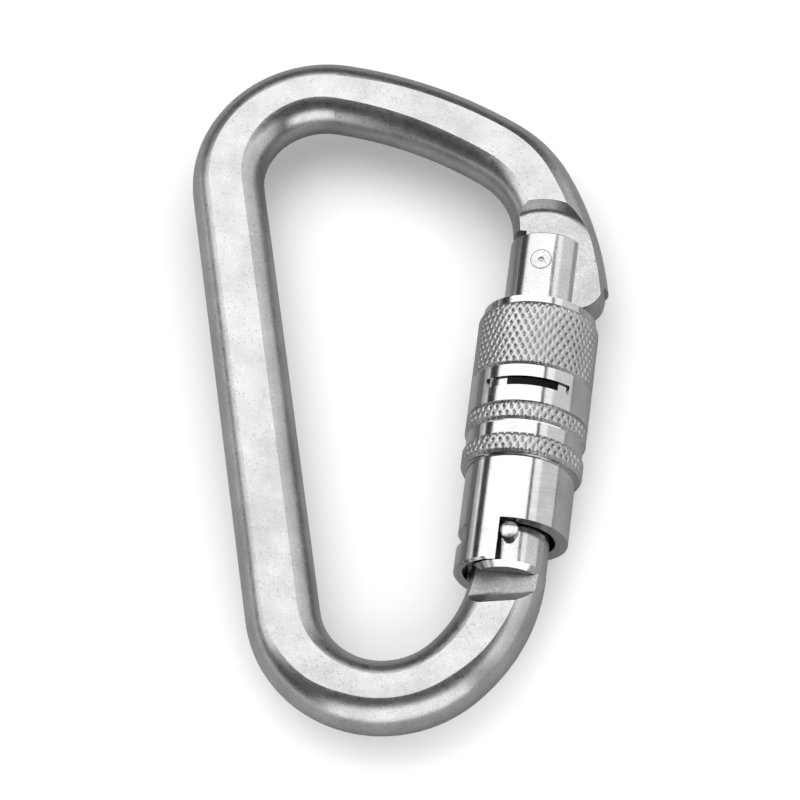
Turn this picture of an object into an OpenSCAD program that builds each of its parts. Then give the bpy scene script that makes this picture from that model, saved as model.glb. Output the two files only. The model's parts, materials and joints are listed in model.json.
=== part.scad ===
// Locking carabiner: an offset-D body bar closed by a sprung gate, with a twist sleeve
// turning round the gate. Millimetres, +Z is normal to the flat of the body, +Y runs along
// the spine towards the nose, +X points to the gate, and the origin is the middle of the
// whole object's box.

/* [Body bar] */
// Width of the bar across the plane of the D
bar_w = 11.3; // [10.8:0.1:11.8]
// Radius of the bar's rounded flanks
flank_r = 4.7; // [4.65:0.01:4.8]
// Height of the flat faces above the middle plane at the two ends of the D
flat_end_z = 4.63; // [4.5:0.01:4.64]
// Height of the flat faces above the middle plane along the spine
flat_spine_z = 4.42; // [4.3:0.01:4.45]
// Length of the straight spine
spine_len = 73.27; // [72:0.01:75]

/* [Outline of the D] */
// Angle between the gate and the spine
gate_angle = 14.6; // [12:0.1:16]
// Centre-line radius of the wide corner beside the spine
corner_r = 14.82; // [14.4:0.01:15.2]
// Turn of the wide corner
corner_turn = 110; // [105:1:114]
// Centre-line radius of the wide end's long bow
bow_r = 67.9; // [55:0.1:80]
// Turn of the long bow
bow_turn = 23.36; // [22.8:0.01:24]
// Centre-line radius of the nose bend
nose_r = 17.94; // [17.5:0.01:18.4]
// Centre-line radius of the narrow end beside the spine
heel_r = 15.49; // [15:0.01:16]
// Turn of the narrow end beside the spine
heel_turn = 121.67; // [120:0.01:123]

/* [Nose and hinge tongues] */
// Half thickness of the nose tongue inside the gate's slot
nose_half_t = 3.2; // [2.8:0.05:3.3]
// Centre-line radius of the nose's outer edge, flatter than the bend
nose_edge_r = 52; // [48:0.1:56]
// Half thickness of the hinge tongue inside the gate's fork
hinge_half_t = 2.9; // [2.5:0.05:3]
// Distance from the end of the body's last bend to the hinge pin
hinge_stub = 4.43; // [4.2:0.01:4.6]

/* [Gate] */
// Radius of the gate
gate_r = 5.85; // [5.7:0.01:5.9]
// How far the gate reaches below its hinge pin
gate_foot = 5.2; // [4.8:0.1:5.3]
// Radius of the hinge pin
hinge_pin_r = 1.35; // [1.1:0.05:1.35]
// Height of the hinge pin's domed ends above the middle plane
hinge_pin_z = 7.1; // [6.9:0.05:7.5]
// Radius of the latch pin
latch_pin_r = 1.7; // [1.5:0.05:1.8]
// Distance from the hinge pin to the latch pin
latch_pin_s = 46.2; // [45.8:0.1:46.6]

/* [Locking sleeve] */
// Radius of the sleeve's upper barrel
sleeve_r = 9.25; // [9.1:0.05:9.4]
// Depth left for the knurl below the barrel's radius
knurl_depth = 0.3; // [0.1:0.05:0.35]
// Radius of the skirt
skirt_r = 8.3; // [8.1:0.05:8.4]
// Bore radius of the skirt
skirt_bore_r = 6.4; // [6.35:0.05:6.6]
// How far the skirt reaches below the hinge pin
skirt_foot = 5.3; // [5:0.1:5.4]
// Distance from the hinge pin to the sleeve's top face
sleeve_top = 38.5; // [38.2:0.1:38.7]
// Angle the sleeve turns to free the gate
sleeve_turn = 118; // [110:1:118]

/* [Hidden] */
$fn = 96;
big = 60;
running = 0.07;
gap = 0.15;

// Outline: headings are measured clockwise from +Y along the wide end, and
// counter-clockwise from -Y along the narrow end. The spine's lower end is [0, 0].
function right_pt(c, r, h) = c + r * [-cos(h), sin(h)];
function left_pt(c, r, k) = c + r * [-cos(k), -sin(k)];
gate_dir = [sin(gate_angle), cos(gate_angle)];
gate_out = [cos(gate_angle), -sin(gate_angle)];
corner_c = [corner_r, spine_len];
bow_h = corner_turn + bow_turn;
bow_c = right_pt(corner_c, corner_r - bow_r, corner_turn);
nose_c = right_pt(bow_c, bow_r - nose_r, bow_h);
nose_end_h = 180 + gate_angle;
nose_end = right_pt(nose_c, nose_r, nose_end_h);
heel_c = [heel_r, 0];
heel_end = left_pt(heel_c, heel_r, heel_turn);
heel_in = [cos(heel_turn), sin(heel_turn)];
// Radius of the last bend, which lands the bar on the gate's axis
toe_r = ((nose_end - heel_end) * gate_out) / (1 + heel_in * gate_out);
toe_c = heel_end + toe_r * heel_in;
toe_end = toe_c + toe_r * gate_out;
pivot = toe_end + hinge_stub * gate_dir;
nose_s = (nose_end - pivot) * gate_dir;
// The nose's outer edge leaves the bend here and runs on at a flatter radius
edge_from_h = nose_end_h - 33;
edge_c = right_pt(nose_c, nose_r - nose_edge_r, edge_from_h);
edge_to_h = edge_from_h + 28;

// Box of the whole object: the spine, the two ends and the nose's outer edge
bar_half = bar_w / 2;
box_left = -bar_half;
box_right = edge_c[0] + nose_edge_r + bar_half;
box_top = spine_len + corner_r + bar_half;
box_bottom = -(heel_r + bar_half);
box_mid = [(box_left + box_right) / 2, (box_bottom + box_top) / 2];

// Gate and nose places, as distances from the hinge pin along the gate
gate_top = nose_s - 0.34;
recess_at = [-0.6, nose_s - 3.54];
recess_r = 7.75;
recess_slope = 39;
ramp_fillet_r = 1.3;
hinge_floor_s = -8.1;
hinge_ramp_slope = 40;
hinge_ramp_turn = 9;
hinge_slot_half = hinge_half_t + 0.1;
hinge_slot_top = 6.2;
hinge_flat_s = 4.4;
nose_slot_half = nose_half_t + gap;
nose_slot_floor = -4.0;
tongue_in = -3.4;
tip_r = 4.5;
tip_s = nose_s - 7.4;
tip_l = 4.95;
tongue_foot_r = sleeve_top + 1.5;
nose_slot_foot = sleeve_top + 0.7;
latch_l = -0.4;
latch_notch_r = latch_pin_r + 0.4;
spring_land_r = 4.9;
spring_land = [10.5, 21.5];
collar_h = 1.4;
clip_s = [22.95, 24.45];
clip_side = [-2.8, 4.6];
clip_groove_r = 5.0;
plunger_r = 1.6;
plunger_tip = hinge_flat_s + 0.1;
plunger_end = 11.3;
plunger_bore_end = 22.2;

// Sleeve places
chamber_r = 7.2;
bush_s = [33.2, 38.1];
bearing_s = [6, 9.5];
notch_top = 1.45;
notch_wall = 1.5;
slot_floor_r = 8.85;
slot_side = [-6.2, 6.4];
pocket_floor_z = 5.2;
knurl_r = sleeve_r - knurl_depth;

module place() {
    translate([-box_mid[0], -box_mid[1], 0])
        children();
}

// Gate's frame: +Y along the gate from the hinge pin, +X away from the D, +Z as the body's
module in_gate() {
    place()
        translate([pivot[0], pivot[1], 0])
            rotate([0, 0, -gate_angle])
                children();
}

// The gate's frame turned so that +Z runs along the gate and -Y faces the front
module along_gate() {
    in_gate()
        rotate([-90, 0, 0])
            children();
}

// ---- Body -------------------------------------------------------------------

module bar_section() {
    centre = bar_half - flank_r;
    intersection() {
        union() {
            for (side = [-centre, centre])
                translate([side, 0])
                    circle(r = flank_r, $fn = 40);
            square([2 * centre, 2 * flank_r], center = true);
        }
        square([2 * bar_w, 2 * flat_end_z], center = true);
    }
}

// A move in two steps, coarse and then fine, so that the bends meet face to face
module shift(p) {
    step = 1000;
    coarse = [for (v = p) round(v * step) / step];
    translate([coarse[0], coarse[1]])
        translate([p[0] - coarse[0], p[1] - coarse[1]])
            children();
}

module bar_bend(c, r, from, turn) {
    shift(c)
        rotate_extrude(start = from, angle = turn)
            shift([r, 0])
                bar_section();
}

module bar_straight(length) {
    rotate([-90, 0, 0])
        linear_extrude(height = length)
            bar_section();
}

module wide_end() {
    bar_bend(corner_c, corner_r, 180 - corner_turn, corner_turn);
    bar_bend(bow_c, bow_r, 180 - bow_h, bow_turn);
    bar_bend(nose_c, nose_r, 180 - nose_end_h, nose_end_h - bow_h);
}

module nose_edge() {
    bar_bend(edge_c, nose_edge_r, 180 - edge_to_h, edge_to_h - edge_from_h);
}

module narrow_end() {
    bar_bend(heel_c, heel_r, 180, heel_turn);
    bar_bend(toe_c, toe_r, 180 + heel_turn, 180 - gate_angle - heel_turn);
}

// Material above the spine's flats: a shallow trough whose ends rise in two slopes
module flat_trough() {
    mid = spine_len / 2;
    flat = mid + 2;
    steep = mid + 12;
    end = mid + 22;
    rise = flat_end_z - flat_spine_z;
    for (side = [0, 1])
        mirror([0, 0, side])
            translate([-big, mid, 0])
                rotate([90, 0, 90])
                    linear_extrude(height = 3 * big)
                        polygon([
                            [-end, flat_end_z + rise],
                            [-steep, flat_spine_z + rise / 2],
                            [-flat, flat_spine_z],
                            [flat, flat_spine_z],
                            [steep, flat_spine_z + rise / 2],
                            [end, flat_end_z + rise]
                        ]);
}

// Profile of a ramp rising from a flat: a fillet, then a straight slope up to the depth
function ramp_pts(r, slope, depth) = [
    for (i = [0 : 8])
        r * [sin(slope * i / 8), 1 - cos(slope * i / 8)],
    [r * sin(slope) + (depth - r * (1 - cos(slope))) / tan(slope), depth]
];

// Takes both faces of the narrow end down to its tongue: a flat floor with a straight ramp
module hinge_recess() {
    half_w = 15;
    depth = 10;
    reach = 18;
    ramp = ramp_pts(ramp_fillet_r, hinge_ramp_slope, depth);
    translate([0, hinge_floor_s, 0])
        rotate([0, 0, hinge_ramp_turn])
            for (side = [0, 1])
                mirror([0, 0, side])
                    translate([-half_w, 0, hinge_half_t])
                        rotate([90, 0, 90])
                            linear_extrude(height = 2 * half_w)
                                polygon(concat(
                                    [for (p = ramp) [-p[0], p[1]]],
                                    [[reach, depth], [reach, 0]]
                                ));
}

// The straight end of the bar, a hair slimmer than the bend it grows from
module hinge_tongue() {
    slim = 0.06;
    root = 1;
    tongue_r = bar_half - slim;
    flank_at = bar_half - flank_r;
    intersection() {
        translate([0, -hinge_stub - root, 0])
            rotate([-90, 0, 0])
                linear_extrude(height = hinge_stub + root + hinge_flat_s)
                    intersection() {
                        union() {
                            for (side = [-flank_at, flank_at])
                                translate([side, 0])
                                    circle(r = flank_r - slim, $fn = 40);
                            square([2 * flank_at, 2 * (flank_r - slim)], center = true);
                        }
                        square([2 * bar_w, 2 * (flat_spine_z - slim)], center = true);
                    }
        union() {
            cylinder(r = tongue_r, h = big, center = true);
            translate([-bar_w, -bar_w, -bar_w])
                cube([2 * bar_w, bar_w, 2 * bar_w]);
        }
    }
}

// Takes both faces of the nose down to its tongue: a flat floor whose end is a round bowl
// in plan, with a small fillet and a sloping wall
module nose_recess() {
    half_w = 15;
    depth = 5;
    reach = 16;
    ramp = ramp_pts(ramp_fillet_r, recess_slope, depth);
    translate([recess_at[0], recess_at[1], 0])
        for (side = [0, 1])
            mirror([0, 0, side])
                translate([0, 0, nose_half_t]) {
                    rotate_extrude()
                        polygon(concat(
                            [[0, depth], [0, 0]],
                            [for (p = ramp) [recess_r + p[0], p[1]]]
                        ));
                    translate([-half_w, -reach, 0])
                        cube([2 * half_w, reach, depth]);
                }
}

module nose_tongue_fill() {
    fill_w = 7;
    translate([tongue_in, tongue_foot_r - 2, -nose_half_t])
        cube([fill_w, nose_s + 3 - tongue_foot_r, 2 * nose_half_t]);
}

// Room for the sleeve's swing, the gate's back wall, the round tip and the latch notch
module nose_cuts() {
    half_w = 12;
    below = 15;
    corner_w = 7;
    corner_h = 6;
    notch_reach = 8;
    linear_extrude(height = big, center = true)
        intersection() {
            circle(r = tongue_foot_r, $fn = 240);
            translate([-half_w, tongue_foot_r - below])
                square([2 * half_w, below + 5]);
        }
    linear_extrude(height = big, center = true)
        translate([-half_w, tongue_foot_r - 3])
            square([half_w + tongue_in, nose_s + 4 - tongue_foot_r]);
    linear_extrude(height = big, center = true)
        difference() {
            translate([tip_l, tip_s - corner_h])
                square([corner_w, corner_h]);
            translate([tip_l, tip_s])
                circle(r = tip_r);
        }
    translate([latch_l, latch_pin_s, 0]) {
        cylinder(r = latch_notch_r, h = big, center = true);
        linear_extrude(height = big, center = true)
            translate([-notch_reach, -latch_notch_r])
                square([notch_reach, 2 * latch_notch_r]);
    }
}

module body() {
    color("gainsboro")
        difference() {
            union() {
                place() {
                    bar_straight(spine_len);
                    wide_end();
                    nose_edge();
                    narrow_end();
                }
                in_gate() {
                    hinge_tongue();
                    nose_tongue_fill();
                }
            }
            place()
                flat_trough();
            in_gate() {
                hinge_recess();
                nose_recess();
                nose_cuts();
                cylinder(r = hinge_pin_r + running, h = big, center = true);
            }
        }
}

// ---- Gate -------------------------------------------------------------------

module gate_blank() {
    foot_chamfer = 0.8;
    top_chamfer = 0.3;
    rotate_extrude()
        polygon([
            [0, -gate_foot],
            [gate_r - foot_chamfer, -gate_foot],
            [gate_r, foot_chamfer - gate_foot],
            [gate_r, spring_land[0]],
            [spring_land_r, spring_land[0]],
            [spring_land_r, spring_land[1]],
            [gate_r, spring_land[1]],
            [gate_r, clip_s[0]],
            [clip_groove_r, clip_s[0]],
            [clip_groove_r, clip_s[1]],
            [gate_r, clip_s[1]],
            [gate_r, gate_top - top_chamfer],
            [gate_r - top_chamfer, gate_top],
            [0, gate_top]
        ]);
}

module gate() {
    reach = 10;
    color("silver")
        difference() {
            along_gate()
                gate_blank();
            in_gate() {
                translate([-reach, -reach, -hinge_slot_half])
                    cube([2 * reach, reach + hinge_slot_top, 2 * hinge_slot_half]);
                translate([nose_slot_floor, nose_slot_foot, -nose_slot_half])
                    cube([2 * reach, 2 * reach, 2 * nose_slot_half]);
                cylinder(r = hinge_pin_r, h = big, center = true);
                translate([latch_l, latch_pin_s, 0])
                    cylinder(r = latch_pin_r, h = big, center = true);
            }
            along_gate()
                translate([0, 0, hinge_slot_top - 1])
                    cylinder(r = plunger_r + running, h = plunger_bore_end - hinge_slot_top + 1);
        }
}

module gate_hinge_pin() {
    dome_r = 6;
    dome_z = hinge_pin_z - dome_r;
    color("white")
        in_gate()
            intersection() {
                cylinder(r = hinge_pin_r, h = 2 * hinge_pin_z, center = true);
                for (side = [-dome_z, dome_z])
                    translate([0, 0, side])
                        sphere(r = dome_r);
            }
}

// A rivet dressed flush with the gate, with a shallow punch mark in each end
module latch_pin() {
    proud = 0.06;
    mark_r = 0.55;
    mark_z = gate_r + 0.35;
    color("white")
        difference() {
            intersection() {
                in_gate()
                    translate([latch_l, latch_pin_s, 0])
                        cylinder(r = latch_pin_r, h = big, center = true);
                along_gate()
                    translate([0, 0, latch_pin_s - 2 * latch_pin_r])
                        cylinder(r = gate_r + proud, h = 4 * latch_pin_r);
            }
            in_gate()
                for (side = [-mark_z, mark_z])
                    translate([latch_l, latch_pin_s, side])
                        sphere(r = mark_r);
        }
}

module gate_plunger() {
    color("dimgray")
        along_gate() {
            translate([0, 0, plunger_tip + plunger_r])
                cylinder(r = plunger_r, h = plunger_end - plunger_tip - plunger_r);
            translate([0, 0, plunger_tip + plunger_r])
                sphere(r = plunger_r);
        }
}

// ---- Springs ----------------------------------------------------------------

// Round wire wound into a helix along +Z, with flat ends
module helix(mean_r, wire_r, length, turns, steps, sides) {
    n = turns * steps;
    rise = length - 2 * wire_r;
    pts = [
        for (i = [0 : n])
            let (
                a = 360 * i / steps,
                z = wire_r + rise * i / n
            )
            for (j = [0 : sides - 1])
                let (
                    b = 360 * j / sides,
                    r = mean_r + wire_r * cos(b)
                )
                [r * cos(a), r * sin(a), z + wire_r * sin(b)]
    ];
    sides_faces = [
        for (i = [0 : n - 1])
            for (j = [0 : sides - 1])
                let (
                    p = i * sides + j,
                    q = i * sides + (j + 1) % sides
                )
                for (tri = [[p, p + sides, q], [q, p + sides, q + sides]])
                    tri
    ];
    first_cap = [for (j = [0 : sides - 1]) j];
    last_cap = [for (j = [sides - 1 : -1 : 0]) n * sides + j];
    polyhedron(points = pts, faces = concat(sides_faces, [first_cap, last_cap]));
}

module gate_return_spring() {
    travel = 0.9;
    coil_r = 1.25;
    wire_r = 0.25;
    turns = 9;
    foot = plunger_end + travel;
    color("gray")
        along_gate()
            translate([0, 0, foot])
                helix(coil_r, wire_r, plunger_bore_end - foot, turns, 16, 6);
}

module sleeve_torsion_spring() {
    coil_r = 5.95;
    wire_r = 0.4;
    turns = 8;
    foot = spring_land[0] + collar_h + 0.1;
    top = spring_land[1] - 0.3;
    color("gray")
        along_gate()
            translate([0, 0, foot])
                helix(coil_r, wire_r, top - foot, turns, 24, 6);
}

// ---- Sleeve -----------------------------------------------------------------

module sleeve_blank() {
    skirt_top = 11.8;
    ring_foot = 11.9;
    ring_top = 15.1;
    band_r = 8.85;
    band_top = 17.2;
    plain_from = 20.3;
    plain_to = 26.5;
    shoulder = 37.1;
    rim_r = 8.65;
    edge = 0.4;
    rotate_extrude()
        polygon([
            [skirt_bore_r, -skirt_foot],
            [skirt_r - edge, -skirt_foot],
            [skirt_r, edge - skirt_foot],
            [skirt_r, skirt_top],
            [knurl_r, ring_foot],
            [knurl_r, ring_top],
            [band_r, ring_top + 0.1],
            [band_r, band_top],
            [knurl_r, band_top + 0.1],
            [knurl_r, plain_from],
            [sleeve_r, plain_from + 0.1],
            [sleeve_r, plain_to - 0.1],
            [knurl_r, plain_to],
            [knurl_r, shoulder],
            [rim_r, shoulder + knurl_r - rim_r],
            [rim_r, sleeve_top],
            [chamber_r, sleeve_top],
            [chamber_r, bearing_s[1]],
            [gate_r + running, bearing_s[1]],
            [gate_r + running, bearing_s[0]],
            [skirt_bore_r, bearing_s[0]]
        ]);
}

// Path of the hinge pin's rear end through the skirt, with +Y to the rear
module rear_window() {
    reach = 12;
    linear_extrude(height = 2 * notch_top, center = true) {
        polygon([
            [0, 0],
            [0, reach],
            reach * [-sin(sleeve_turn / 3), cos(sleeve_turn / 3)],
            reach * [-sin(sleeve_turn * 2 / 3), cos(sleeve_turn * 2 / 3)],
            reach * [-sin(sleeve_turn), cos(sleeve_turn)]
        ]);
        rotate([0, 0, sleeve_turn])
            translate([-notch_wall, 0])
                square([2 * notch_wall, reach]);
    }
}

// Oblique relief inside the skirt, which lets the hinge tongue pass as the sleeve turns
module skirt_relief() {
    relief_tilt = 15.5;
    relief_side = 20;
    inset = 0.1;
    depth = 20;
    rotate([0, 0, -relief_side])
        rotate([-relief_tilt, 0, 0])
            translate([0, 0, -depth])
                cylinder(r = skirt_bore_r - inset, h = depth);
}

module locking_sleeve() {
    reach = 20;
    slot_h = clip_s[1] - clip_s[0];
    color("gainsboro")
        along_gate()
            difference() {
                sleeve_blank();
                translate([-notch_wall, -reach, -reach])
                    cube([2 * reach, 2 * reach, reach + notch_top]);
                rear_window();
                skirt_relief();
                difference() {
                    translate([slot_side[0], -reach, clip_s[0]])
                        cube([slot_side[1] - slot_side[0], reach, slot_h]);
                    cylinder(r = slot_floor_r, h = sleeve_top);
                }
                translate([clip_side[0] - gap, -reach - pocket_floor_z, clip_s[0]])
                    cube([clip_side[1] - clip_side[0] + 2 * gap, reach, slot_h]);
            }
}

module sleeve_bush() {
    color("darkgray")
        along_gate()
            translate([0, 0, bush_s[0]])
                linear_extrude(height = bush_s[1] - bush_s[0])
                    difference() {
                        circle(r = chamber_r);
                        circle(r = gate_r + running);
                    }
}

// Spring clip: a ring in the gate's groove with a lug in the sleeve's saw slot
module retaining_clip() {
    clip_play = 0.15;
    clip_outer_r = 7.05;
    lug_r = slot_floor_r + 0.05;
    lug_root = 5.5;
    mouth = 7;
    color("black")
        along_gate()
            translate([0, 0, clip_s[0] + clip_play])
                linear_extrude(height = clip_s[1] - clip_s[0] - 2 * clip_play)
                    difference() {
                        union() {
                            circle(r = clip_outer_r);
                            intersection() {
                                circle(r = lug_r);
                                translate([clip_side[0], -lug_r])
                                    square([clip_side[1] - clip_side[0], lug_r - lug_root]);
                            }
                        }
                        circle(r = clip_groove_r + running);
                        translate([-mouth / 2, 0])
                            square([mouth, clip_outer_r + 1]);
                    }
}

// Split ring on the gate that holds the torsion spring's lower end
module spring_anchor_collar() {
    collar_r = 6.9;
    split = 1.2;
    color("darkgray")
        along_gate()
            translate([0, 0, spring_land[0]])
                linear_extrude(height = collar_h)
                    difference() {
                        circle(r = collar_r);
                        circle(r = spring_land_r);
                        translate([-split / 2, 0])
                            square([split, collar_r + 1]);
                    }
}

body();
gate();
gate_hinge_pin();
latch_pin();
gate_plunger();
gate_return_spring();
locking_sleeve();
sleeve_bush();
sleeve_torsion_spring();
retaining_clip();
spring_anchor_collar();
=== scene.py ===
import json
import math

import bmesh
import bpy
from mathutils import Matrix, Vector


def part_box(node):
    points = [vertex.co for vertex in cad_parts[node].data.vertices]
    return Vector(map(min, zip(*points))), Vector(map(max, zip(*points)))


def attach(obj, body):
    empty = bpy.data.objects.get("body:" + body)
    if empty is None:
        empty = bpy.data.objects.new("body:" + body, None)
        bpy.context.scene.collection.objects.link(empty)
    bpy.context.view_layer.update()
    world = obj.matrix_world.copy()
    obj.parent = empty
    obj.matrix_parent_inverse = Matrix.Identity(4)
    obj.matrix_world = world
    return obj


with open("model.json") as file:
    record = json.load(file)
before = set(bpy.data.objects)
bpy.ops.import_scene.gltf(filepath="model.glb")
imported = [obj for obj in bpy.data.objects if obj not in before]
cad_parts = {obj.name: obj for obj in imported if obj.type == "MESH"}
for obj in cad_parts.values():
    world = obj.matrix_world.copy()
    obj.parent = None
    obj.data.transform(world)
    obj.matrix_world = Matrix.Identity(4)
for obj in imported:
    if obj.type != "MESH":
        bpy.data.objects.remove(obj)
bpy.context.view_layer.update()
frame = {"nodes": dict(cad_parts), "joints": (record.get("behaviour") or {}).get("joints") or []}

MM = 0.001

# The hinge pin's place, the way along the gate, and how far that leans from +Y
JOINTS = {joint["name"]: joint for joint in frame["joints"]}
PIVOT = Vector(JOINTS["gate_swing"]["pos_m"])
ALONG = Vector(JOINTS["sleeve_turn"]["axis"]).normalized()
UP = Vector((0.0, 0.0, 1.0))
OUT = ALONG.cross(UP)
LEAN = math.atan2(ALONG.x, ALONG.y)

# Distance from the gate's axis of the knurl's ridges and of the bottoms of its pits, in mm
KNURL_PEAK = 9.24
KNURL_ROOT = 8.93


def round_gate(radius, angle, along):
    """A point round the gate's axis, in mm from the hinge pin. The angle is from straight up."""
    side = OUT * math.sin(angle) + UP * math.cos(angle)
    return PIVOT + side * (radius * MM) + ALONG * (along * MM)


# ---- Materials ---------------------------------------------------------------


class Nodes:
    """One material's node tree, with short names for building it."""

    def __init__(self, name):
        self.mat = bpy.data.materials.new(name)
        self.mat.use_nodes = True
        self.tree = self.mat.node_tree
        self.bsdf = next(n for n in self.tree.nodes if n.type == "BSDF_PRINCIPLED")
        self.coord = self.add("ShaderNodeTexCoord").outputs["Object"]

    def add(self, kind, **values):
        node = self.tree.nodes.new(kind)
        for key, value in values.items():
            setattr(node, key, value)
        return node

    def link(self, a, b):
        self.tree.links.new(a, b)

    def noise(self, scale, detail=2.0, rough=0.5, stretch=None, turn=None):
        """Cloudy noise, finer as scale grows, and drawn out along some axes if stretch is given."""
        node = self.add("ShaderNodeTexNoise")
        node.inputs["Scale"].default_value = scale
        node.inputs["Detail"].default_value = detail
        node.inputs["Roughness"].default_value = rough
        vector = self.coord
        if stretch or turn:
            mapping = self.add("ShaderNodeMapping")
            mapping.inputs["Scale"].default_value = stretch or (1, 1, 1)
            mapping.inputs["Rotation"].default_value = turn or (0, 0, 0)
            self.link(self.coord, mapping.inputs["Vector"])
            vector = mapping.outputs["Vector"]
        self.link(vector, node.inputs["Vector"])
        return node.outputs[0]

    def specks(self, scale):
        """Distance from the nearest of many scattered points."""
        node = self.add("ShaderNodeTexVoronoi")
        node.inputs["Scale"].default_value = scale
        self.link(self.coord, node.inputs["Vector"])
        return node.outputs["Distance"]

    def remap(self, value, low, high, to_low, to_high):
        """Stretches low..high to to_low..to_high, and holds it there outside."""
        node = self.add("ShaderNodeMapRange")
        node.inputs["From Min"].default_value = low
        node.inputs["From Max"].default_value = high
        node.inputs["To Min"].default_value = to_low
        node.inputs["To Max"].default_value = to_high
        self.link(value, node.inputs["Value"])
        return node.outputs["Result"]

    def math(self, operation, a, b):
        node = self.add("ShaderNodeMath", operation=operation)
        for socket, value in zip(node.inputs, (a, b)):
            if isinstance(value, (int, float)):
                socket.default_value = value
            else:
                self.link(value, socket)
        return node.outputs[0]

    def ramp(self, value, low, high):
        """A colour between low and high."""
        node = self.add("ShaderNodeValToRGB")
        node.color_ramp.elements[0].color = (*low, 1)
        node.color_ramp.elements[1].color = (*high, 1)
        self.link(value, node.inputs["Fac"])
        return node.outputs["Color"]

    def bump(self, height, distance, strength, after=None):
        node = self.add("ShaderNodeBump")
        node.inputs["Distance"].default_value = distance
        node.inputs["Strength"].default_value = strength
        self.link(height, node.inputs["Height"])
        if after is not None:
            self.link(after, node.inputs["Normal"])
        return node.outputs["Normal"]

    def milled_and_shaded_floor(self):
        """1 on the hinge tongue's flats, which lie low and face up or down, and less on the nose's; the
        extra weight towards the hinge is painted shade on the neck beside the gate foot.
        """
        tongue_z = (3.3 * MM, 3.6 * MM)
        hinge_y, nose_y = -10 * MM, 10 * MM
        place = self.add("ShaderNodeSeparateXYZ")
        self.link(self.coord, place.inputs[0])
        low = self.remap(self.math("ABSOLUTE", place.outputs["Z"], 0.0), *tongue_z, 1.0, 0.0)
        facing = self.add("ShaderNodeSeparateXYZ")
        self.link(self.add("ShaderNodeTexCoord").outputs["Normal"], facing.inputs[0])
        level = self.remap(self.math("ABSOLUTE", facing.outputs["Z"], 0.0), 0.7, 0.95, 0.0, 1.0)
        # Heavier towards the hinge: rougher there, and painted shade on the neck beside the gate foot.
        rough_and_shaded = self.remap(place.outputs["Y"], hinge_y, nose_y, 1.0, 0.3)
        return self.math("MULTIPLY", self.math("MULTIPLY", low, level), rough_and_shaded)

    def wear(self, radius):
        """1 along sharp edges, 0 on open faces."""
        bevel = self.add("ShaderNodeBevel", samples=4)
        bevel.inputs["Radius"].default_value = radius
        geometry = self.add("ShaderNodeNewGeometry")
        dot = self.add("ShaderNodeVectorMath", operation="DOT_PRODUCT")
        self.link(bevel.outputs["Normal"], dot.inputs[0])
        self.link(geometry.outputs["Normal"], dot.inputs[1])
        return self.remap(dot.outputs["Value"], 0.995, 0.9, 0.0, 1.0)


def pin_end(name, node, dark, light, rings=1.0):
    """Steel for a node that is a pin along Z: turned rings about its axis and a painted shade ring that
    darkens its rim.
    """
    low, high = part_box(node)
    centre = (low + high) / 2
    outline = (high.x - low.x) / 2
    shade_ring_from, shade_ring_to = outline - 0.28 * MM, outline - 0.02 * MM
    ring_rate = 17.0 / MM
    n = Nodes(name)
    n.bsdf.inputs["Metallic"].default_value = 1.0
    offset = n.add("ShaderNodeVectorMath", operation="SUBTRACT")
    offset.inputs[1].default_value = centre
    n.link(n.coord, offset.inputs[0])
    flat = n.add("ShaderNodeVectorMath", operation="MULTIPLY")
    flat.inputs[1].default_value = (1.0, 1.0, 0.0)
    n.link(offset.outputs[0], flat.inputs[0])
    size = n.add("ShaderNodeVectorMath", operation="LENGTH")
    n.link(flat.outputs[0], size.inputs[0])
    radius = size.outputs["Value"]
    turned = n.math("MULTIPLY", n.math("SINE", n.math("MULTIPLY", radius, ring_rate), 0.0), rings)
    fine = n.noise(3000.0, 3.0, 0.6)
    tone = n.remap(n.math("ADD", fine, n.math("MULTIPLY", turned, 0.03)), 0.25, 0.6, 0.0, 1.0)
    # Painted shade: a dark ring round the pin's rim, where it meets the gate.
    edge = n.remap(radius, shade_ring_from, shade_ring_to, 0.0, 1.6)
    tone = n.math("SUBTRACT", tone, edge)
    n.link(n.ramp(tone, dark, light), n.bsdf.inputs["Base Color"])
    n.link(n.remap(fine, 0.3, 0.7, 0.16, 0.28), n.bsdf.inputs["Roughness"])
    n.link(n.bump(turned, 0.003 * MM, 1.0, n.bump(fine, 0.002 * MM, 1.0)), n.bsdf.inputs["Normal"])
    return n.mat


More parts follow.
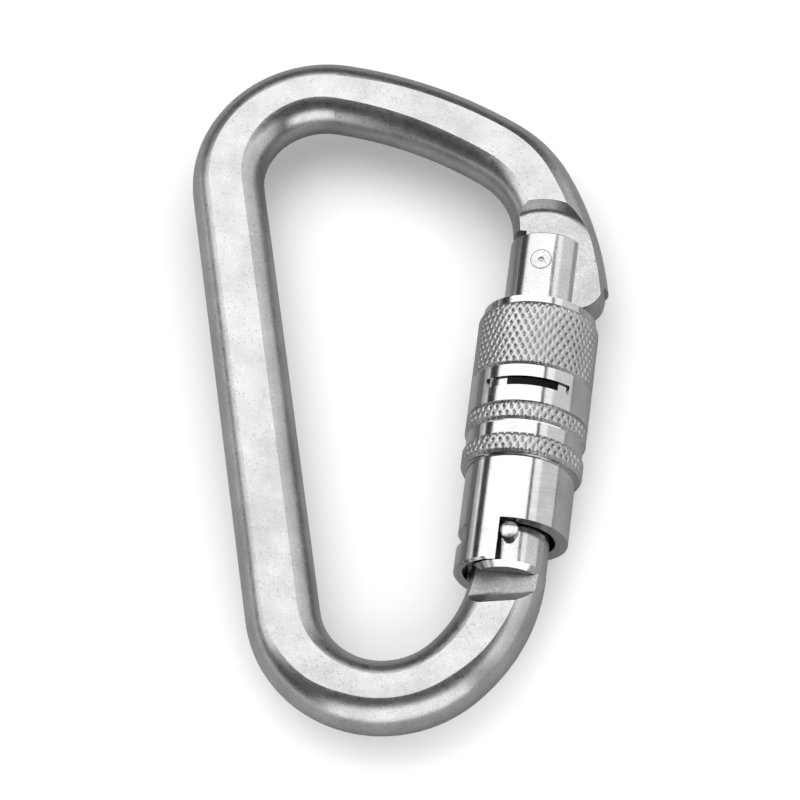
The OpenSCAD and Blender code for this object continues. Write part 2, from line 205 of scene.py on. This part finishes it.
def steel(name, dark, light, rough, grain, grain_depth, speck=0.0, wear=0.12, milled=False):
    """Bare steel with mottled colour, uneven gloss, a fine grain, dark specks and brighter edges, partly
    worn metal and partly a painted highlight.
    """
    n = Nodes(name)
    n.bsdf.inputs["Metallic"].default_value = 1.0
    cloud = n.noise(140.0, 5.0, 0.6)
    fine = n.noise(grain, 3.0, 0.6)
    tone = n.math("ADD", n.math("MULTIPLY", cloud, 0.5), n.math("MULTIPLY", fine, 0.5))
    tone = n.remap(tone, 0.35, 0.65, 0.0, 1.0)
    edge = n.wear(0.2 * MM)
    # Brighter edges: partly worn metal, partly a painted highlight along the rims.
    tone = n.math("ADD", tone, n.math("MULTIPLY", edge, 0.9))
    gloss = n.remap(n.noise(900.0, 4.0, 0.7), 0.3, 0.7, rough[0], rough[1])
    gloss = n.math("SUBTRACT", gloss, n.math("MULTIPLY", edge, wear))
    height = n.math("ADD", n.math("MULTIPLY", fine, 0.7), n.math("MULTIPLY", cloud, 0.3))
    normal = n.bump(height, grain_depth, 1.0)
    if speck:
        patch = n.remap(n.noise(260.0, 3.0, 0.6), 0.42, 0.62, 0.0, 1.0)
        spot = n.math("MULTIPLY", n.remap(n.specks(1500.0), 0.12, 0.3, 1.0, 0.0), patch)
        tone = n.math("SUBTRACT", tone, n.math("MULTIPLY", spot, speck))
        normal = n.bump(spot, 0.02 * MM, -0.5, normal)
    if milled:
        floor = n.milled_and_shaded_floor()
        pits = n.noise(2600.0, 2.0, 0.7)
        # Darkens the milled flats: the speckle is machining marks, and the extra darkening towards the hinge
        # is painted shade.
        tone = n.math("SUBTRACT", tone, n.math("MULTIPLY", floor, n.remap(pits, 0.4, 0.6, 0.9, 0.1)))
        gloss = n.math("ADD", gloss, n.math("MULTIPLY", floor, 0.12))
        normal = n.bump(n.math("MULTIPLY", floor, pits), 0.03 * MM, 1.0, normal)
    n.link(n.ramp(tone, dark, light), n.bsdf.inputs["Base Color"])
    n.link(gloss, n.bsdf.inputs["Roughness"])
    n.link(normal, n.bsdf.inputs["Normal"])
    return n.mat


def turned_steel(name, dark, light, rough):
    """Steel off a lathe: fine rings round the gate's axis."""
    n = Nodes(name)
    n.bsdf.inputs["Metallic"].default_value = 1.0
    rings = n.noise(1.0, 2.0, 0.7, stretch=(60.0, 5200.0, 60.0), turn=(0.0, 0.0, LEAN))
    cloud = n.noise(220.0, 4.0, 0.6)
    edge = n.wear(0.18 * MM)
    tone = n.math("ADD", n.math("MULTIPLY", rings, 0.35), n.math("MULTIPLY", cloud, 0.65))
    tone = n.remap(tone, 0.35, 0.65, 0.0, 1.0)
    # Brighter edges: partly worn metal, partly a painted highlight along the rims.
    tone = n.math("ADD", tone, n.math("MULTIPLY", edge, 0.7))
    n.link(n.ramp(tone, dark, light), n.bsdf.inputs["Base Color"])
    gloss = n.remap(n.noise(700.0, 4.0, 0.7), 0.3, 0.7, rough[0], rough[1])
    n.link(gloss, n.bsdf.inputs["Roughness"])
    normal = n.bump(rings, 0.004 * MM, 1.0)
    normal = n.bump(n.noise(2600.0, 3.0, 0.6), 0.003 * MM, 1.0, normal)
    n.link(normal, n.bsdf.inputs["Normal"])
    return n.mat


def plastic(name, dark, light):
    """Moulded plastic with a faint mottle and a matte, fine-grained skin."""
    n = Nodes(name)
    n.link(n.ramp(n.noise(300.0, 4.0), dark, light), n.bsdf.inputs["Base Color"])
    n.link(n.remap(n.noise(900.0, 3.0), 0.3, 0.7, 0.45, 0.62), n.bsdf.inputs["Roughness"])
    n.link(n.bump(n.noise(2500.0, 3.0), 0.01 * MM, 1.0), n.bsdf.inputs["Normal"])
    return n.mat


def grey(value, blue=0.0):
    """A grey, a trace bluer if blue is given."""
    return (value, value, value + blue)


BODY = steel(
    "tumbled_steel",
    grey(0.36, 0.005),
    grey(0.58),
    rough=(0.25, 0.35),
    grain=5200.0,
    grain_depth=0.012 * MM,
    speck=0.9,
    wear=0.1,
    milled=True,
)
GATE = steel(
    "polished_steel",
    grey(0.46, 0.005),
    grey(0.62),
    rough=(0.12, 0.2),
    grain=4200.0,
    grain_depth=0.004 * MM,
    speck=0.7,
)
PIN = steel(
    "pin_steel",
    grey(0.46, 0.005),
    grey(0.62),
    rough=(0.14, 0.24),
    grain=5200.0,
    grain_depth=0.004 * MM,
    speck=0.2,
)
SPRING = steel(
    "spring_wire",
    grey(0.28, 0.01),
    grey(0.5, 0.01),
    rough=(0.25, 0.36),
    grain=6200.0,
    grain_depth=0.004 * MM,
)
BLACK = steel(
    "black_steel",
    grey(0.006),
    grey(0.02),
    rough=(0.4, 0.55),
    grain=3000.0,
    grain_depth=0.005 * MM,
)
KNURL = steel(
    "knurled_steel",
    grey(0.36, 0.005),
    grey(0.6),
    rough=(0.26, 0.36),
    grain=5200.0,
    grain_depth=0.006 * MM,
)
SLEEVE = turned_steel("turned_steel", grey(0.48, 0.005), grey(0.62), rough=(0.09, 0.16))
BUSH = plastic("bush_plastic", grey(0.05, 0.002), grey(0.09, 0.002))
RIVET = pin_end("rivet_steel", "latch_pin", grey(0.26, 0.005), grey(0.62))
HINGE = pin_end("hinge_pin_steel", "gate_hinge_pin", grey(0.34, 0.005), grey(0.68), rings=0.0)

LOOKS = {
    "body": BODY,
    "gate": GATE,
    "gate_hinge_pin": HINGE,
    "latch_pin": RIVET,
    "gate_plunger": SPRING,
    "gate_return_spring": SPRING,
    "locking_sleeve": SLEEVE,
    "sleeve_bush": BUSH,
    "sleeve_torsion_spring": SPRING,
    "retaining_clip": BLACK,
    "spring_anchor_collar": PIN,
}
for node_name, look in LOOKS.items():
    obj = frame["nodes"][node_name]
    obj.data.materials.clear()
    obj.data.materials.append(look)


# ---- Knurled bands -----------------------------------------------------------


def knurl_band(name, low, high):
    """A ring round the gate's axis, from low to high along it in mm, with crossed ridges and pits.

    A diamond is one pitch round the ring and rise mm along it, and cells steps each way. A ridge's
    top is land steps to each side and falls by land_fall a step. The knurl fades over end_steps.
    """
    pitches = 49
    cells = 8
    rise = 2.05
    land = 1.6
    land_fall = 0.06
    end_steps = 2
    columns = pitches * cells
    rows = round((high - low) / (rise / cells))
    step = (high - low) / rows
    inner = KNURL_ROOT - 0.25

    def height(i, j):
        """1 on a ridge, falling to 0 in the middle of a pit."""
        far = min(abs((k + cells // 2) % cells - cells // 2) for k in (i + j, i - j))
        deep = max(far - land, 0) / (cells / 2 - land)
        return 1.0 - land_fall * min(far, land) - (1.0 - land_fall * land) * deep

    mesh = bmesh.new()
    rings = []
    for j in range(-1, rows + 2):
        ring = []
        for i in range(columns):
            a = 2 * math.pi * i / columns
            if j in (-1, rows + 1):
                r, s = inner, low if j < 0 else high
            else:
                edge = min(j, rows - j, end_steps) / end_steps
                r = KNURL_ROOT + (KNURL_PEAK - KNURL_ROOT) * height(i, j) * edge
                s = low + j * step
            ring.append(mesh.verts.new(round_gate(r, a, s)))
        rings.append(ring)
    for j in range(len(rings) - 1):
        for i in range(columns):
            k = (i + 1) % columns
            a, b = rings[j][i], rings[j][k]
            c, d = rings[j + 1][k], rings[j + 1][i]
            if (i + j - 1) % 2 == 0:
                mesh.faces.new((a, b, c))
                mesh.faces.new((a, c, d))
            else:
                mesh.faces.new((a, b, d))
                mesh.faces.new((b, c, d))
    for i in range(columns):
        k = (i + 1) % columns
        mesh.faces.new((rings[0][k], rings[0][i], rings[-1][i], rings[-1][k]))
    bmesh.ops.recalc_face_normals(mesh, faces=mesh.faces[:])
    data = bpy.data.meshes.new(name)
    mesh.to_mesh(data)
    mesh.free()
    obj = bpy.data.objects.new(name, data)
    bpy.context.scene.collection.objects.link(obj)
    data.materials.append(KNURL)
    for face in data.polygons:
        face.use_smooth = True
    data.set_sharp_from_angle(angle=math.radians(30))
    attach(obj, "sleeve_body")
    return obj


knurl_band("knurl_top", 26.45, 37.15)
knurl_band("knurl_middle", 17.3, 20.35)
knurl_band("knurl_low", 11.85, 15.12)


# ---- Floor, lights and camera ------------------------------------------------


def floor(name, z, tone):
    """A wide matte floor at the height z, of this grey."""
    size = 3.0
    spread = 0.01
    data = bpy.data.meshes.new(name)
    corners = [(-size, -size, z), (size, -size, z), (size, size, z), (-size, size, z)]
    data.from_pydata(corners, [], [(0, 1, 2, 3)])
    obj = bpy.data.objects.new(name, data)
    bpy.context.scene.collection.objects.link(obj)
    n = Nodes(name)
    colour = n.ramp(n.noise(6.0, 3.0), grey(tone - spread), grey(tone + spread))
    n.link(colour, n.bsdf.inputs["Base Color"])
    n.bsdf.inputs["Roughness"].default_value = 0.9
    n.bsdf.inputs["Specular IOR Level"].default_value = 0.1
    data.materials.append(n.mat)
    return obj


# The pale floor, and a greyer card under it that is only seen mirrored in the metal
pale = floor("floor", -9.3 * MM, 0.92)
pale.visible_glossy = False
pale.visible_shadow = False
card = floor("floor_card", -9.4 * MM, 0.76)
card.visible_camera = False
card.visible_diffuse = False
card.visible_shadow = False

# The camera looks at AIM, a little off the middle of the part, from above and past the narrow end
AIM = Vector((-3.324, -3.33, 0.0)) * MM
TO_CAMERA = Vector((0.016, -0.447, 0.894)).normalized()
RIGHT = Vector((0.988, -0.129, -0.082))
RIGHT = (RIGHT - TO_CAMERA * RIGHT.dot(TO_CAMERA)).normalized()
CAMERA_UP = TO_CAMERA.cross(RIGHT)
CAMERA_FAR = 0.612


def camera():
    """A long lens, so that the part is seen with little perspective."""
    data = bpy.data.cameras.new("camera")
    data.lens = 180.0
    data.sensor_width = 36.0
    data.clip_start = 0.01
    obj = bpy.data.objects.new("camera", data)
    bpy.context.scene.collection.objects.link(obj)
    turn = Matrix((RIGHT, CAMERA_UP, TO_CAMERA)).transposed().to_4x4()
    obj.matrix_world = Matrix.Translation(AIM + TO_CAMERA * CAMERA_FAR) @ turn
    bpy.context.scene.camera = obj


camera()


def panel(name, x_range, y_range, glow, far=0.9):
    """A soft panel overhead that spans these tilts from straight up, in degrees, seen from the part."""
    x0, x1 = (math.tan(math.radians(v)) for v in x_range)
    y0, y1 = (math.tan(math.radians(v)) for v in y_range)
    centre = AIM + Vector(((x0 + x1) / 2, (y0 + y1) / 2, 1.0)) * far
    return lamp(name, centre, UP, Vector((1, 0, 0)), ((x1 - x0) * far, (y1 - y0) * far), glow)


def wall(name, turn, tilts, width, glow, far=0.9):
    """An upright panel at the bearing turn from +X, from tilts[0] to tilts[1] off straight up."""
    way = Vector((math.cos(math.radians(turn)), math.sin(math.radians(turn)), 0.0))
    z0, z1 = (far / math.tan(math.radians(v)) for v in tilts)
    centre = AIM + way * far + UP * (z0 + z1) / 2
    return lamp(name, centre, way, UP.cross(way), (width, z1 - z0), glow)


def lamp(name, centre, back, side, size, glow):
    """A rectangular light of even brightness that faces away from back, its width along side."""
    data = bpy.data.lights.new(name, "AREA")
    data.shape = "RECTANGLE"
    data.size, data.size_y = size
    data.energy = glow * math.pi * size[0] * size[1]
    obj = bpy.data.objects.new(name, data)
    bpy.context.scene.collection.objects.link(obj)
    turn = Matrix((side, back.cross(side), back)).transposed().to_4x4()
    obj.matrix_world = Matrix.Translation(centre) @ turn
    obj.visible_camera = False
    return obj


panel("overhead", (-63.0, 32.0), (8.0, 57.0), 1.85)
wall("right_high", 5.0, (52.0, 38.0), 1.6, 1.5)
wall("right_wall", 5.0, (89.0, 52.0), 1.6, 0.95)
wall("left_strip", 180.0, (89.0, 80.0), 1.6, 1.2)
# A card past the narrow end, which lights the sides that face it
FRONT = AIM + Vector((-10, -155, 82)) * MM
lamp("front_card", FRONT, Vector((0, -1, 0)), Vector((-1, 0, 0)), (0.24, 0.15), 1.9)
# Lights the floor, and is not mirrored in the metal
fill = panel("floor_fill", (-50.0, 50.0), (-50.0, 50.0), 1.0)
fill.visible_glossy = False

# What is left of the metal's view is a dark room
world = bpy.data.worlds.new("room")
bpy.context.scene.world = world
world.use_nodes = True
world.node_tree.nodes["Background"].inputs["Color"].default_value = (*grey(0.06, 0.003), 1.0)
world.node_tree.nodes["Background"].inputs["Strength"].default_value = 1.0
bpy.context.scene.view_settings.view_transform = "Standard"
